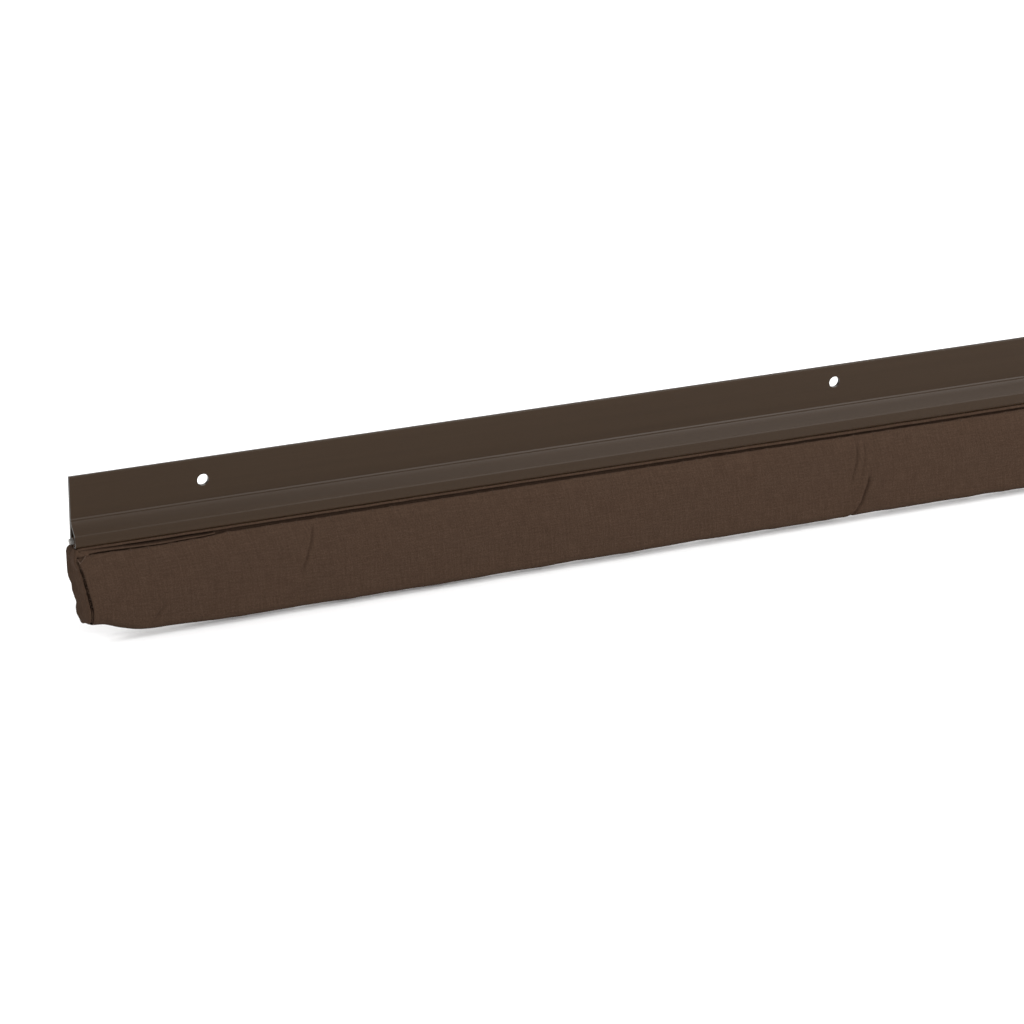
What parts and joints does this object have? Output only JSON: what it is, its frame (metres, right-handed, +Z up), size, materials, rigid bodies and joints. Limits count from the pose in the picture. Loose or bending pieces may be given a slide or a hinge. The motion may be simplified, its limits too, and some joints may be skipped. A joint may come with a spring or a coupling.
{
  "type": "door sweep",
  "caption": "Door-bottom sweep: a flanged aluminium retainer strip with screw holes that grips a flexible, cloth-covered fibre pad hanging below it.",
  "frame": {"origin": "on the door face (the back of the flange), midway between the centres of the two outer screw holes", "axes": "+X along the sweep, +Y into the door, +Z up; the front of the sweep faces -Y"},
  "size_m": [0.9172, 0.0103, 0.0649],
  "materials": {
    "bronze_anodised": "satin dark-bronze anodised, drawn lengthwise",
    "grey_plastic": "plain grey extruded rod",
    "brown_cloth": "plain-weave brown cloth with slubs",
    "steel_poly_fill": "coarse steel wool blended with polyester fibre",
    "brown_thread": "twisted sewing thread"
  },
  "bodies": {
    "root": {"retainer": "bronze_anodised", "retaining_rod": "grey_plastic", "sleeve_neck": "brown_cloth"},
    "pad": {"pad_cover": "brown_cloth", "end_panel_left": "brown_cloth", "end_panel_right": "brown_cloth", "fibre_core": "steel_poly_fill", "facing_band": "brown_cloth", "hem_thread": "brown_thread", "end_thread_left": "brown_thread", "end_thread_right": "brown_thread"}
  },
  "joints": [
    {"name": "pad_flex", "type": "hinge", "parent": "root", "child": "pad", "pos_m": [0, -0.00345, -0.0185], "axis": [1, 0, 0], "range_deg": [-20, 20], "stiffness_Nm_per_rad": 0.05}
  ]
}
